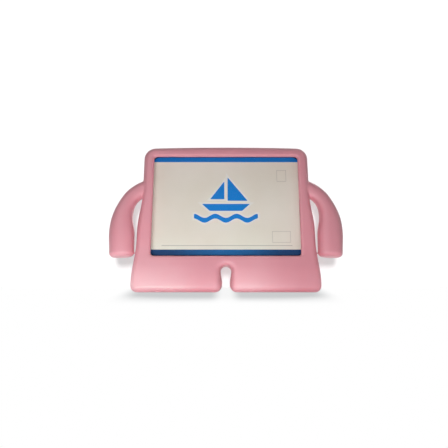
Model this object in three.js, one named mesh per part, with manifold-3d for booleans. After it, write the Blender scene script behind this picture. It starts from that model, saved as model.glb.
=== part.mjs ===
import * as THREE from 'three';
import { mergeVertices } from 'three/addons/utils/BufferGeometryUtils.js';
import Module from 'manifold-3d';

// A moulded tablet case for children: a frame with a window, two hanging arms that serve as
// handles, and two flared legs that it stands on. A printed display card lies in its bay.
//
// The case is drawn in its own upright frame. X runs to the right, Z runs up the frame from
// the middle of the bay, and Y runs to the back. Depths are given as a distance forward
// of the card's printed face, so a depth of d lies at Y = -d. The finished case then leans
// back, and its soles are cut level so that it stands flat. All lengths are millimetres.

// Stance
const LEAN = THREE.MathUtils.degToRad(10);

// Tablet bay, sized to the tablet that slides in behind the lip
const TABLET_WIDTH = 240;
const TABLET_HEIGHT = 169.5;
const TABLET_THICKNESS = 7.5;
const TABLET_CLEARANCE = 0.5;
const BAY_CORNER = 12;

// Display card, laid on the floor of the bay until a tablet takes its place
const CARD_THICKNESS = 2;
const CARD_PLAY = 1.25;
const CARD_CORNER = 20;
const SEAT_GAP = 0.3;

// Frame: lip round the window, walls outside the bay, panel behind the card
const LIP_REACH_SIDE = 9;
const LIP_REACH_TOP = 8;
const LIP_REACH_BOTTOM = 7.25;
const LIP_THICKNESS = 7.3;
const LIP_ROUND = 3;
const WINDOW_CORNER = 4.5;
const SIDE_WALL = 7.5;
const TOP_WALL = 6.6;
const TOP_CROWN = 2.1;
const TOP_CORNER = 17.5;
const PANEL_THICKNESS = 8;

// Soft rounding of the outer edges, as far inward and as far along the depth
const EDGE_INWARD = 9;
const EDGE_FRONT = 10;
const EDGE_BACK = 7;
const SOLE_EDGE_FRONT = 7;
const SOLE_EDGE_BACK = 4;

// Legs, from the bottom of the window down
const LEG_LENGTH = 50.5;
const TOE_FORWARD = 9;
const HEEL_BACK = 27;
const HIP_START = 20;
const HIP_END = -38;
const HIP_SPREAD = 6.2;
const FOOT_SPREAD = 4;
const FOOT_CORNER = 10;
const NOTCH_HEIGHT = 36.5;
const NOTCH_ROUND = 8;
const NOTCH_NARROW = 5.8;
const NOTCH_FOOT_ROUND = 9.5;

// Arms: where they leave the side wall, how far out they hang and how low they end
const ARM_ROOT_HEIGHT = 25;
const ARM_ROOT_WIDTH = 23.5;
const ARM_ROOT_THICKNESS = 19;
const ARM_OUTREACH = 47;
const ARM_WIDTH = 38;
const ARM_THICKNESS = 30;
const ARM_FORWARD = 3;
const ARM_GAP = 2.2;
const ARM_LENGTH = 104;
const ARM_END_ROUND = 6.5;
const ARM_SQUARENESS = 2.3;
const ROOT_BURIED = 6;

// Print on the card: edge bands, two faint frames, a rule and a sailing boat over a wave
const BAND_TOP_SHOWN = 5.8;
const BAND_BOTTOM_SHOWN = 10.8;
const MOTIF_HEIGHT = 6;
const SAIL_GAP = 2.5;
const MAIN_SAIL = [31, 38];
const FRONT_SAIL = [22, 29];
const HULL_LENGTH = 74;
const HULL_DEPTH = 11;
const WAVE_LENGTH = 98;
const WAVE_RISE = 3.2;
const WAVE_STROKE = 7.5;
const WAVE_DROP = 25;

// Steps along the curves
const STEPS = { top: 7, corner: 7, side: 18, heel: 6, sole: 9, notchFoot: 5, notchSide: 3, notchTop: 5 };
const CARD_CORNER_STEPS = 10;
const ARM_STATIONS = 13;
const ARM_SIDES = 26;

// Sizes that follow from those above
const bayHalf = new THREE.Vector2(
  TABLET_WIDTH / 2 + TABLET_CLEARANCE,
  TABLET_HEIGHT / 2 + TABLET_CLEARANCE,
);
const windowTop = bayHalf.y - LIP_REACH_TOP;
const windowBottom = -bayHalf.y + LIP_REACH_BOTTOM;
const windowHalf = new THREE.Vector2(bayHalf.x - LIP_REACH_SIDE, (windowTop - windowBottom) / 2);
const windowMiddle = (windowTop + windowBottom) / 2;
const wallX = bayHalf.x + SIDE_WALL;
const outerTop = bayHalf.y + TOP_WALL;
const soleDrop = LEG_LENGTH - windowBottom;
const footX = wallX + HIP_SPREAD + FOOT_SPREAD;
const bayFloor = -CARD_THICKNESS - SEAT_GAP;
const lipUnderside = bayFloor + TABLET_THICKNESS + TABLET_CLEARANCE;
const frontFace = lipUnderside + LIP_THICKNESS;
const backFace = bayFloor - PANEL_THICKNESS;

const smooth = (value, from, to) => {
  const t = THREE.MathUtils.clamp((value - from) / (to - from), 0, 1);
  return t * t * (3 - 2 * t);
};

// The front swells toward the toes and the back toward the heels
const frontAt = (height) => {
  return frontFace + TOE_FORWARD * smooth(height, windowBottom + 16, -soleDrop + 12);
};
const backAt = (height) => backFace - HEEL_BACK * smooth(height, windowBottom, -soleDrop + 7);

// Half the width of the frame at a height: straight above the hips, wider toward the feet
const flankAt = (height) => {
  const hip = HIP_SPREAD * smooth(height, HIP_START, HIP_END);
  const foot = FOOT_SPREAD * smooth(height, windowBottom + 25, -soleDrop + 16);
  return wallX + hip + foot;
};

// A point of the upright frame: right, up, forward. The legs are sheared so that whatever is
// level along the sole stays level once the case leans back.
const place = (right, up, forward) => {
  const standing = smooth(up, windowBottom - 12, -soleDrop + 12);
  return new THREE.Vector3(right, -forward, up - forward * Math.tan(LEAN) * standing);
};

const points = (curve, steps) => curve.getPoints(steps).slice(0, -1);
const arc = (x, y, radius, from, to) =>
  new THREE.EllipseCurve(x, y, radius, radius, from, to, from > to);
const line = (x1, y1, x2, y2) =>
  new THREE.LineCurve(new THREE.Vector2(x1, y1), new THREE.Vector2(x2, y2));

// Heights down a side, closer together toward the feet
const downSide = (from, to) => Array.from({ length: STEPS.side }, (_, i) => {
  return THREE.MathUtils.lerp(to, from, (1 - i / STEPS.side) ** 1.5);
});

// Closes a right half that runs from the top middle to the bottom middle with its mirror
const mirrored = (half, last) => {
  const left = half.slice(1).reverse().map((p) => new THREE.Vector2(-p.x, p.y));
  return [...half, last, ...left];
};

// Outline of the whole frame seen from the front
function frameOutline() {
  const cornerX = wallX - TOP_CORNER;
  const cornerY = outerTop - TOP_CORNER;
  const heelX = footX - FOOT_CORNER;
  const heelY = -soleDrop + FOOT_CORNER;
  const innerFootX = NOTCH_NARROW + NOTCH_FOOT_ROUND;
  const innerFootY = -soleDrop + NOTCH_FOOT_ROUND;
  const notchY = -soleDrop + NOTCH_HEIGHT - NOTCH_ROUND;
  const side = downSide(cornerY, heelY).map((height) => new THREE.Vector2(flankAt(height), height));
  const half = [
    ...points(line(0, outerTop, cornerX, outerTop), STEPS.top),
    ...points(arc(cornerX, cornerY, TOP_CORNER, Math.PI / 2, 0), STEPS.corner),
    ...side,
    ...points(arc(heelX, heelY, FOOT_CORNER, 0, -Math.PI / 2), STEPS.heel),
    ...points(line(heelX, -soleDrop, innerFootX, -soleDrop), STEPS.sole),
    ...points(arc(innerFootX, innerFootY, NOTCH_FOOT_ROUND, -Math.PI / 2, -Math.PI), STEPS.notchFoot),
    ...points(line(NOTCH_NARROW, innerFootY, NOTCH_ROUND, notchY), STEPS.notchSide),
    ...points(arc(0, notchY, NOTCH_ROUND, 0, Math.PI / 2), STEPS.notchTop),
  ];
  const crowned = half.map((p) => {
    const share = Math.max(0, p.y / outerTop) * (1 - (p.x / wallX) ** 2);
    return new THREE.Vector2(p.x, p.y + TOP_CROWN * share);
  });
  return mirrored(crowned, new THREE.Vector2(0, notchY + NOTCH_ROUND));
}

// A rounded rectangle with the same count of points as the outline, so the two can be joined
function innerOutline(half, middle, radius) {
  const x = half.x - radius;
  const y = half.y - radius;
  const notchSteps = STEPS.notchFoot + STEPS.notchSide + STEPS.notchTop;
  const split = 4 * NOTCH_FOOT_ROUND;
  const right = [
    ...points(line(0, half.y, x, half.y), STEPS.top),
    ...points(arc(x, y, radius, Math.PI / 2, 0), STEPS.corner),
    ...downSide(y, -y).map((height) => new THREE.Vector2(half.x, height)),
    ...points(arc(x, -y, radius, 0, -Math.PI / 2), STEPS.heel),
    ...points(line(x, -half.y, split, -half.y), STEPS.sole),
    ...points(line(split, -half.y, 0, -half.y), notchSteps),
  ];
  const closed = mirrored(right, new THREE.Vector2(0, -half.y));
  return closed.map((p) => new THREE.Vector2(p.x, p.y + middle));
}

// Outward directions of a closed outline that runs clockwise
function outward(outline) {
  const count = outline.length;
  return outline.map((_, i) => {
    const before = outline[(i + count - 1) % count];
    const after = outline[(i + 1) % count];
    return new THREE.Vector2(before.y - after.y, after.x - before.x).normalize();
  });
}

// Skins a row of rings with equal counts, splits each cell along its shorter diagonal, and
// closes both ends with a fan
function skin(rings) {
  const count = rings[0].length;
  const middle = (ring) => ring.reduce((sum, p) => sum.add(p), new THREE.Vector3()).divideScalar(count);
  const all = [...rings.flat(), middle(rings[0]), middle(rings.at(-1))];
  const faces = [];
  for (let i = 0; i < count; i += 1) {
    const j = (i + 1) % count;
    for (let r = 0; r + 1 < rings.length; r += 1) {
      const [a, b] = [r * count + i, r * count + j];
      const [c, d] = [b + count, a + count];
      const isAcrossShorter = all[a].distanceTo(all[c]) <= all[b].distanceTo(all[d]);
      faces.push(...(isAcrossShorter ? [a, b, c, a, c, d] : [a, b, d, b, c, d]));
    }
    const last = (rings.length - 1) * count;
    faces.push(all.length - 2, j, i);
    faces.push(all.length - 1, last + i, last + j);
  }
  const geometry = new THREE.BufferGeometry();
  geometry.setAttribute('position', new THREE.Float32BufferAttribute(all.flatMap((p) => p.toArray()), 3));
  geometry.setIndex(faces);
  return geometry;
}

// The frame with its legs, as rings that run from the floor of the bay up its wall, over the
// lip and the broad face, round the outer edge and across the back panel
function frameGeometry() {
  const outline = frameOutline();
  const normals = outward(outline);
  const window = innerOutline(windowHalf, windowMiddle, WINDOW_CORNER);
  const windowNormals = outward(window);
  const bay = innerOutline(bayHalf, 0, BAY_CORNER);
  const inset = (i, distance) => outline[i].clone().addScaledVector(normals[i], -distance);
  const beyondWindow = (i, distance) => window[i].clone().addScaledVector(windowNormals[i], distance);
  const soleShare = (i) => Math.max(0, -normals[i].y) ** 2;
  const ring = (at) => outline.map((_, i) => place(...at(i)));
  const turns = (list) => list.map(THREE.MathUtils.degToRad);

  const inner = [
    ring((i) => [bay[i].x, bay[i].y, bayFloor]),
    ring((i) => [bay[i].x, bay[i].y, lipUnderside]),
    ring((i) => [window[i].x, window[i].y, lipUnderside]),
  ];
  const lip = turns([0, 30, 60, 90]).map((angle) => ring((i) => {
    const p = beyondWindow(i, LIP_ROUND * (1 - Math.cos(angle)));
    return [p.x, p.y, frontAt(p.y) - LIP_ROUND * (1 - Math.sin(angle))];
  }));
  const face = [0.25, 0.5, 0.75].map((share) => ring((i) => {
    const p = beyondWindow(i, LIP_ROUND).lerp(inset(i, EDGE_INWARD), share);
    return [p.x, p.y, frontAt(p.y)];
  }));
  const frontEdge = turns([90, 72, 54, 36, 18, 0]).map((angle) => ring((i) => {
    const p = inset(i, EDGE_INWARD * (1 - Math.cos(angle)));
    const depth = THREE.MathUtils.lerp(EDGE_FRONT, SOLE_EDGE_FRONT, soleShare(i));
    return [p.x, p.y, frontAt(p.y) - depth * (1 - Math.sin(angle))];
  }));
  const backEdge = turns([0, 20, 40, 62, 90]).map((angle) => ring((i) => {
    const p = inset(i, EDGE_INWARD * (1 - Math.cos(angle)));
    const depth = THREE.MathUtils.lerp(EDGE_BACK, SOLE_EDGE_BACK, soleShare(i));
    return [p.x, p.y, backAt(p.y) + depth * (1 - Math.sin(angle))];
  }));
  const back = [0.85, 0.65, 0.4, 0.2, 0].map((share) => ring((i) => {
    const p = window[i].clone().lerp(inset(i, EDGE_INWARD), share);
    return [p.x, p.y, backAt(p.y)];
  }));
  return skin([...inner, ...lip, ...face, ...frontEdge, ...backEdge, ...back]);
}

// One arm, swept down its middle line from the side wall to its rounded end
function armGeometry() {
  const middleX = wallX + ARM_OUTREACH - ARM_WIDTH / 2;
  const lowZ = ARM_ROOT_HEIGHT - ARM_LENGTH + ARM_END_ROUND;
  const lowInner = flankAt(lowZ) + ARM_GAP;
  const lowOuter = wallX + ARM_OUTREACH - 1.2;
  const lowX = (lowInner + lowOuter) / 2;
  const path = new THREE.CatmullRomCurve3([
    new THREE.Vector3(wallX - 12, ARM_ROOT_HEIGHT + 6.4, 0.3 * ARM_FORWARD),
    new THREE.Vector3(wallX + 5, ARM_ROOT_HEIGHT - 1.5, 0.3 * ARM_FORWARD),
    new THREE.Vector3(wallX + 18, ARM_ROOT_HEIGHT - 13, 0.35 * ARM_FORWARD),
    new THREE.Vector3(middleX - 2, ARM_ROOT_HEIGHT - 29, 0.5 * ARM_FORWARD),
    new THREE.Vector3(middleX + 1.6, ARM_ROOT_HEIGHT - 47, 0.7 * ARM_FORWARD),
    new THREE.Vector3(middleX + 1, ARM_ROOT_HEIGHT - 70, 0.9 * ARM_FORWARD),
    new THREE.Vector3(lowX, lowZ, ARM_FORWARD),
  ], false, 'centripetal');
  const halfWidthAt = (t) => {
    const swollen = THREE.MathUtils.lerp(ARM_ROOT_WIDTH, ARM_WIDTH, smooth(t, 0.3, 0.8)) / 2;
    return THREE.MathUtils.lerp(swollen, (lowOuter - lowInner) / 2, smooth(t, 0.75, 1));
  };
  const halfDepthAt = (t) => {
    return THREE.MathUtils.lerp(ARM_ROOT_THICKNESS, ARM_THICKNESS, smooth(t, 0, 0.7)) / 2;
  };
  const bulge = (value) => Math.sign(value) * Math.abs(value) ** (2 / ARM_SQUARENESS);
  const section = (centre, along, halfWidth, halfDepth) => {
    return Array.from({ length: ARM_SIDES }, (_, k) => {
      const angle = (2 * Math.PI * k) / ARM_SIDES;
      const across = halfWidth * bulge(Math.cos(angle));
      const forward = centre.z + halfDepth * bulge(Math.sin(angle));
      return new THREE.Vector3(centre.x - along.y * across, -forward, centre.y + along.x * across);
    });
  };
  const shaft = Array.from({ length: ARM_STATIONS + 1 }, (_, k) => {
    const t = k / ARM_STATIONS;
    return section(path.getPointAt(t), path.getTangentAt(t), halfWidthAt(t), halfDepthAt(t));
  });
  const end = path.getPointAt(1);
  const along = path.getTangentAt(1);
  const tip = [25, 50, 72, 90].map((turn) => {
    const angle = THREE.MathUtils.degToRad(turn);
    const inset = ARM_END_ROUND * (1 - Math.cos(angle));
    const centre = end.clone().addScaledVector(along, ARM_END_ROUND * Math.sin(angle));
    return section(centre, along, halfWidthAt(1) - inset, halfDepthAt(1) - inset);
  });
  return skin([...shaft, ...tip]);
}

const wasm = await Module();
wasm.setup();

// A closed surface as a solid that can be joined. A mirrored surface is turned right way out.
function solid(geometry, isMirrored = false) {
  const bare = geometry.clone();
  bare.deleteAttribute('normal');
  bare.deleteAttribute('uv');
  const welded = mergeVertices(bare, 1e-4);
  const triVerts = new Uint32Array(welded.index.array);
  if (isMirrored) {
    for (let k = 0; k < triVerts.length; k += 3) {
      [triVerts[k], triVerts[k + 1]] = [triVerts[k + 1], triVerts[k]];
    }
  }
  const vertProperties = new Float32Array(welded.attributes.position.array);
  return new wasm.Manifold(new wasm.Mesh({ numProp: 3, vertProperties, triVerts }));
}

function geometryOf(manifold) {
  const mesh = manifold.getMesh();
  const geometry = new THREE.BufferGeometry();
  geometry.setAttribute('position', new THREE.Float32BufferAttribute(mesh.vertProperties, mesh.numProp));
  geometry.setIndex(new THREE.Uint32BufferAttribute(mesh.triVerts, 1));
  geometry.computeVertexNormals();
  return geometry;
}

// The frame and both arms as one moulding. The arms stop inside the side walls.
function caseGeometry() {
  const arm = armGeometry();
  const otherArm = arm.clone().scale(-1, 1, 1);
  const betweenWalls = new THREE.BoxGeometry(2 * (wallX - ROOT_BURIED), 4 * frontFace, 2 * outerTop);
  const arms = solid(arm).add(solid(otherArm, true)).subtract(solid(betweenWalls));
  return geometryOf(solid(frameGeometry()).add(arms));
}

// The shapes of the card's picture, each a closed list of points about the motif's middle
function motifShapes() {
  const sail = (side, [width, height], rise) => [
    new THREE.Vector2(side * SAIL_GAP, rise),
    new THREE.Vector2(side * (SAIL_GAP + width), rise),
    new THREE.Vector2(side * SAIL_GAP, rise + height),
  ];
  const bow = HULL_DEPTH * 1.1;
  const hull = [
    new THREE.Vector2(-HULL_LENGTH / 2, -SAIL_GAP),
    new THREE.Vector2(-HULL_LENGTH / 2 + bow, -SAIL_GAP - HULL_DEPTH),
    new THREE.Vector2(HULL_LENGTH / 2 - bow, -SAIL_GAP - HULL_DEPTH),
    new THREE.Vector2(HULL_LENGTH / 2, -SAIL_GAP),
  ];
  const crest = (offset) => Array.from({ length: 25 }, (_, i) => {
    const x = WAVE_LENGTH * (i / 24 - 0.5);
    return new THREE.Vector2(x, -WAVE_DROP + WAVE_RISE * Math.cos((6 * Math.PI * i) / 24) + offset);
  });
  const wave = [...crest(-WAVE_STROKE / 2), ...crest(WAVE_STROKE / 2).reverse()];
  const shapes = [sail(1, MAIN_SAIL, SAIL_GAP), sail(-1, FRONT_SAIL, 2 * SAIL_GAP), hull, wave];
  return shapes.map((shape) => shape.map((p) => new THREE.Vector2(p.x, p.y + MOTIF_HEIGHT)));
}

// The card: a thin board whose front is divided into fields of print colour
function cardGeometry(colours) {
  const half = new THREE.Vector2(bayHalf.x - CARD_PLAY, bayHalf.y - CARD_PLAY);
  const middle = -bayHalf.y + SEAT_GAP + half.y;
  const [x, y] = [half.x - CARD_CORNER, half.y - CARD_CORNER];
  const quarter = (cx, cy, start) => {
    return arc(cx, cy + middle, CARD_CORNER, start, start + Math.PI / 2).getPoints(CARD_CORNER_STEPS);
  };
  const edge = [
    ...quarter(x, y, 0),
    ...quarter(-x, y, Math.PI / 2),
    ...quarter(-x, -y, Math.PI),
    ...quarter(x, -y, 1.5 * Math.PI),
  ];
  const limits = [windowTop - BAND_TOP_SHOWN, windowBottom + BAND_BOTTOM_SHOWN];
  const outline = edge.flatMap((p, i) => {
    const next = edge[(i + 1) % edge.length];
    const crossed = limits.filter((limit) => (p.y - limit) * (next.y - limit) < 0);
    return [p, ...crossed.map((limit) => {
      return new THREE.Vector2(p.x + ((next.x - p.x) * (limit - p.y)) / (next.y - p.y), limit);
    })];
  });
  const positions = [];
  const tints = [];
  const put = (colour, ...corners) => {
    corners.forEach(([p, depth]) => {
      positions.push(p.x, p.y, depth);
      tints.push(colour.r, colour.g, colour.b);
    });
  };
  const field = (contour, holes, colour, depth, isBack = false) => {
    const all = [...contour, ...holes.flat()];
    THREE.ShapeUtils.triangulateShape(contour, holes).forEach(([a, b, c]) => {
      const order = isBack ? [a, c, b] : [a, b, c];
      put(colour, ...order.map((k) => [all[k], depth]));
    });
  };
  const anticlockwise = (shape) => (THREE.ShapeUtils.isClockWise(shape) ? [...shape].reverse() : shape);
  const shapes = motifShapes().map(anticlockwise);
  const holes = shapes.map((shape) => [...shape].reverse());
  field(outline.filter((p) => p.y >= limits[0]), [], colours.band, 0);
  field(outline.filter((p) => p.y <= limits[0] && p.y >= limits[1]), holes, colours.board, 0);
  field(outline.filter((p) => p.y <= limits[1]), [], colours.band, 0);
  shapes.forEach((shape) => field(shape, [], colours.motif, 0));
  field(outline, [], colours.board, -CARD_THICKNESS, true);
  outline.forEach((p, i) => {
    const q = outline[(i + 1) % outline.length];
    const [front, back] = [0, -CARD_THICKNESS];
    put(colours.board, [p, front], [p, back], [q, back]);
    put(colours.board, [p, front], [q, back], [q, front]);
  });
  const geometry = new THREE.BufferGeometry();
  geometry.setAttribute('position', new THREE.Float32BufferAttribute(positions, 3));
  geometry.setAttribute('color', new THREE.Float32BufferAttribute(tints, 3));
  geometry.computeVertexNormals();
  return geometry;
}

const foam = new THREE.MeshStandardMaterial({ color: 0xe79fad, roughness: 0.62, metalness: 0 });
const printedBoard = new THREE.MeshStandardMaterial({
  color: 0xffffff,
  roughness: 0.7,
  metalness: 0,
  vertexColors: true,
});
const cardColours = {
  board: new THREE.Color(0xdad1c5),
  band: new THREE.Color(0x2167af),
  motif: new THREE.Color(0x197dcd),
};

const caseBody = new THREE.Mesh(caseGeometry(), foam);
caseBody.name = 'case_body';

const displayCard = new THREE.Mesh(cardGeometry(cardColours), printedBoard);
displayCard.name = 'display_card';
displayCard.rotation.x = Math.PI / 2;

const leaning = new THREE.Group();
leaning.name = 'leaning_case';
leaning.add(caseBody, displayCard);
leaning.rotation.x = -LEAN;
leaning.position.z = soleDrop * Math.cos(LEAN);

// The origin lies on the ground below the middle of the case
const extent = new THREE.Box3().setFromObject(leaning, true);
leaning.position.y = -(extent.min.y + extent.max.y) / 2;

const part = new THREE.Group();
part.name = 'tablet_case';
part.add(leaning);

export default part;
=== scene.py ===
"""A children's tablet case with arm handles and flared legs, dressed for rendering."""
import logging
import math
from collections.abc import Iterable, Sequence
from dataclasses import dataclass, field
from enum import Enum

import bpy
import numpy as np
from mathutils import Matrix, Vector


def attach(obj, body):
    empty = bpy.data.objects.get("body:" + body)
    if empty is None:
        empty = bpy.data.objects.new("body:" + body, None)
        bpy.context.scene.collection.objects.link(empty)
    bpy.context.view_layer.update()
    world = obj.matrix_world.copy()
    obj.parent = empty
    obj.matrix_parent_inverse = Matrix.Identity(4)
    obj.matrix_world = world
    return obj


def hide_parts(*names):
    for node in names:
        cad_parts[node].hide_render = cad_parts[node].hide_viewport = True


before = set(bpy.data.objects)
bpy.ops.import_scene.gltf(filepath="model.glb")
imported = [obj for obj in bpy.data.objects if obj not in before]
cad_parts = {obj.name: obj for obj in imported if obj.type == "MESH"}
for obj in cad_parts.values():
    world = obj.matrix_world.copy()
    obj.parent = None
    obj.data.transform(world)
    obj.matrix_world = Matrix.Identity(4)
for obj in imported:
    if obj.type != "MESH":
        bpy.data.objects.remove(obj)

LOG = logging.getLogger("tablet_case")
MM = 0.001
ROOT_BODY = "root"

Point = tuple[float, float]
Colour = tuple[float, float, float]


class Node(str, Enum):
    """Names of the solids that the dressed pieces stand for."""

    CASE = "case_body"
    CARD = "display_card"


class Slot(str, Enum):
    """Names of the material slots."""

    FOAM = "case_foam"
    BOARD = "printed_board"


def linear(red: int, green: int, blue: int) -> Colour:
    """Turn a display colour into the linear one that shader sockets take.

    Args:
        red: Red, 0 to 255.
        green: Green, 0 to 255.
        blue: Blue, 0 to 255.

    Returns:
        The linear colour, each channel 0 to 1.
    """

    def channel(value: int) -> float:
        """Decode one channel."""
        share = value / 255
        return share / 12.92 if share <= 0.04045 else ((share + 0.055) / 1.055) ** 2.4

    return channel(red), channel(green), channel(blue)


def smooth(value: np.ndarray | float, start: float, end: float) -> np.ndarray | float:
    """Ease from 0 at start to 1 at end.

    Args:
        value: Where to evaluate the step.
        start: Where the step begins; it may lie above end.
        end: Where the step is complete.

    Returns:
        The eased share.
    """
    share = np.clip((value - start) / (end - start), 0.0, 1.0)
    return share * share * (3.0 - 2.0 * share)


# --------------------------------------------------------------------------- sizes


@dataclass(frozen=True)
class CaseSizes:
    """Sizes of the moulding in millimetres, with the values of the part's source."""

    lean_deg: float = 10.0
    tablet_width: float = 240.0
    tablet_height: float = 169.5
    tablet_thickness: float = 7.5
    clearance: float = 0.5
    bay_corner: float = 12.0
    card_thickness: float = 2.0
    card_play: float = 1.25
    card_corner: float = 20.0
    seat_gap: float = 0.3
    lip_reach_side: float = 9.0
    lip_reach_top: float = 8.0
    lip_reach_bottom: float = 7.25
    lip_thickness: float = 7.3
    lip_round: float = 3.0
    window_corner: float = 4.5
    side_wall: float = 7.5
    top_wall: float = 6.6
    top_crown: float = 2.1
    top_corner: float = 17.5
    panel_thickness: float = 8.0
    edge_inward: float = 9.0
    edge_front: float = 10.0
    edge_back: float = 7.0
    sole_edge_front: float = 7.0
    sole_edge_back: float = 4.0
    leg_length: float = 50.5
    toe_forward: float = 9.0
    heel_back: float = 27.0
    hip_start: float = 20.0
    hip_end: float = -38.0
    hip_spread: float = 6.2
    foot_spread: float = 4.0
    foot_corner: float = 10.0
    notch_height: float = 36.5
    notch_round: float = 8.0
    notch_narrow: float = 5.8
    notch_foot_round: float = 9.5
    # Stretches of the legs: where each starts from the window's bottom and ends above the soles
    toe_span: Point = (16.0, 12.0)
    heel_span: Point = (0.0, 7.0)
    foot_span: Point = (25.0, 16.0)
    level_span: Point = (-12.0, 12.0)

    @property
    def lean(self) -> float:
        """How far the case leans back, in radians."""
        return math.radians(self.lean_deg)

    @property
    def bay_half(self) -> Point:
        """Half the width and height of the bay."""
        return self.tablet_width / 2 + self.clearance, self.tablet_height / 2 + self.clearance

    @property
    def window_half(self) -> Point:
        """Half the width and height of the window."""
        return self.bay_half[0] - self.lip_reach_side, (self.window_top - self.window_bottom) / 2

    @property
    def window_top(self) -> float:
        """Height of the window's upper side."""
        return self.bay_half[1] - self.lip_reach_top

    @property
    def window_bottom(self) -> float:
        """Height of the window's lower side."""
        return -self.bay_half[1] + self.lip_reach_bottom

    @property
    def window_middle(self) -> float:
        """Height of the window's middle above the bay's."""
        return (self.window_top + self.window_bottom) / 2

    @property
    def wall_x(self) -> float:
        """The outer side of the frame above the hips."""
        return self.bay_half[0] + self.side_wall

    @property
    def outer_top(self) -> float:
        """The top of the frame at its corners."""
        return self.bay_half[1] + self.top_wall

    @property
    def sole_drop(self) -> float:
        """How far the soles lie below the middle of the bay."""
        return self.leg_length - self.window_bottom

    @property
    def foot_x(self) -> float:
        """The outer side of a foot."""
        return self.wall_x + self.hip_spread + self.foot_spread

    @property
    def bay_floor(self) -> float:
        """Depth of the bay's floor."""
        return -self.card_thickness - self.seat_gap

    @property
    def lip_underside(self) -> float:
        """Depth of the lip's hidden face."""
        return self.bay_floor + self.tablet_thickness + self.clearance

    @property
    def front_face(self) -> float:
        """Depth of the frame's front above the legs."""
        return self.lip_underside + self.lip_thickness

    @property
    def back_face(self) -> float:
        """Depth of the back panel's outer face."""
        return self.bay_floor - self.panel_thickness

    def down_legs(self, height: np.ndarray | float, span: Point) -> np.ndarray | float:
        """Ease from 0 at the start of a stretch of the legs to 1 at its end."""
        return smooth(height, self.window_bottom + span[0], -self.sole_drop + span[1])

    def front_at(self, height: np.ndarray) -> np.ndarray:
        """Depth of the front at each height, swelling toward the toes."""
        return self.front_face + self.toe_forward * self.down_legs(height, self.toe_span)

    def back_at(self, height: np.ndarray) -> np.ndarray:
        """Depth of the back at each height, swelling toward the heels."""
        return self.back_face - self.heel_back * self.down_legs(height, self.heel_span)

    def flank_at(self, height: np.ndarray | float) -> np.ndarray | float:
        """Half the frame's width at each height.

        Args:
            height: Heights above the middle of the bay.

        Returns:
            Half widths.
        """
        hip = self.hip_spread * smooth(height, self.hip_start, self.hip_end)
        foot = self.foot_spread * self.down_legs(height, self.foot_span)
        return self.wall_x + hip + foot


@dataclass(frozen=True)
class Stance:
    """How the upright drawing frame (right, up, forward) stands in the shared frame."""

    sizes: CaseSizes
    shift_y: float

    def matrix(self) -> Matrix:
        """The matrix from drawing metres (right, up, forward) to the shared frame.

        Returns:
            A rigid transform.
        """
        lean = self.sizes.lean
        rows = (
            (1.0, 0.0, 0.0, 0.0),
            (0.0, math.sin(lean), -math.cos(lean), self.shift_y * MM),
            (0.0, math.cos(lean), math.sin(lean), self.sizes.sole_drop * math.cos(lean) * MM),
            (0.0, 0.0, 0.0, 1.0),
        )
        return Matrix(rows)


# --------------------------------------------------------------------------- meshes


@dataclass
class Skin:
    """Vertices and faces of one surface, in drawing millimetres."""

    points: np.ndarray
    faces: list[tuple[int, ...]]

    def mesh(self, name: str) -> bpy.types.Mesh:
        """Make a mesh of it, in metres.

        Args:
            name: Name of the mesh.

        Returns:
            The mesh, in the drawing frame.
        """
        mesh = bpy.data.meshes.new(name)
        mesh.from_pydata((self.points * MM).tolist(), [], self.faces)
        mesh.update()
        return mesh


def skin_rings(rings: Sequence[np.ndarray]) -> Skin:
    """Skin a row of rings with equal counts, and close both ends with a fan.

    Args:
        rings: Rings of points, each an array of shape (count, 3).

    Returns:
        The closed surface.
    """
    count = len(rings[0])
    ends = np.array([rings[0].mean(axis=0), rings[-1].mean(axis=0)])
    points = np.vstack([*rings, ends])
    first, last = len(points) - 2, len(points) - 1
    top = (len(rings) - 1) * count
    faces: list[tuple[int, ...]] = []
    for i in range(count):
        j = (i + 1) % count
        faces.extend(
            (r * count + i, r * count + j, (r + 1) * count + j, (r + 1) * count + i)
            for r in range(len(rings) - 1)
        )
        faces.append((first, j, i))
        faces.append((last, top + i, top + j))
    return Skin(points, faces)


def new_object(name: str, data: bpy.types.ID) -> bpy.types.Object:
    """Link a new object for a mesh, lamp or camera into the scene.

    Args:
        name: Name of the object.
        data: What it shows.

    Returns:
        The object.
    """
    obj = bpy.data.objects.new(name, data)
    bpy.context.scene.collection.objects.link(obj)
    return obj


def look_along(obj: bpy.types.Object, heading: Vector) -> None:
    """Turn a lamp or camera to look along a direction."""
    obj.rotation_mode = "QUATERNION"
    obj.rotation_quaternion = heading.to_track_quat("-Z", "Y")


def apply_modifiers(obj: bpy.types.Object) -> bpy.types.Mesh:
    """Turn an object with its modifiers into a plain mesh, and drop the modifiers.

    Args:
        obj: The object to finish.

    Returns:
        The new mesh, which the object now holds.
    """
    depsgraph = bpy.context.evaluated_depsgraph_get()
    mesh = bpy.data.meshes.new_from_object(obj.evaluated_get(depsgraph), depsgraph=depsgraph)
    obj.modifiers.clear()
    obj.data = mesh
    return mesh


def shade_smooth(mesh: bpy.types.Mesh) -> None:
    """Shade every face of a mesh smoothly."""
    mesh.polygons.foreach_set("use_smooth", [True] * len(mesh.polygons))
    mesh.update()


# --------------------------------------------------------------------------- frame


def along(start: Point, end: Point, steps: int) -> np.ndarray:
    """Points of a straight line, without its last."""
    share = np.linspace(0, 1, steps, endpoint=False)[:, None]
    return np.array(start) * (1 - share) + np.array(end) * share


def around(centre: Point, radius: float, start_deg: float, end_deg: float, steps: int) -> np.ndarray:
    """Points of an arc, without its last."""
    angle = np.radians(np.linspace(start_deg, end_deg, steps, endpoint=False))
    return np.stack([centre[0] + radius * np.cos(angle), centre[1] + radius * np.sin(angle)], axis=1)


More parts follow.
